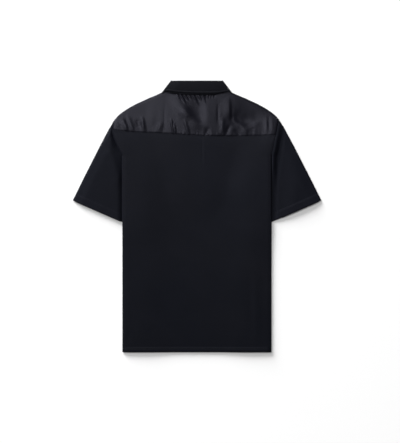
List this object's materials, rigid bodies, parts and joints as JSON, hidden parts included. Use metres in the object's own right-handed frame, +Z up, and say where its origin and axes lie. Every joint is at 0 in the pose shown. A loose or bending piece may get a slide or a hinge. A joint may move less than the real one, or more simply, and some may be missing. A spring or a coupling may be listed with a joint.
{
  "type": "polo shirt",
  "caption": "Short-sleeved polo shirt laid flat on its front, back up and sides turned under, with a gathered woven back yoke and a folded collar.",
  "frame": {"origin": "centre of the shirt's outline, on the surface that it lies on", "axes": "+X to the right as the back is seen, +Y from the hem to the collar, +Z up out of the back"},
  "size_m": [0.6894, 0.7544, 0.01],
  "materials": {
    "jersey": "matt knitted jersey, near-black navy",
    "yoke_nylon": "smooth dark grey woven cloth with a soft lustre",
    "collar_rib": "matt near-black navy collar cloth, topstitched",
    "button": "polished dark button"
  },
  "bodies": {
    "root": {"back_panel": "jersey", "front_panel": "jersey", "sleeve_left": "jersey", "sleeve_right": "jersey", "placket_upper": "jersey", "placket_under": "jersey", "back_yoke": "yoke_nylon", "collar_fall": "collar_rib", "collar_stand": "collar_rib", "button_1": "button", "button_2": "button", "button_3": "button"}
  },
  "joints": []
}
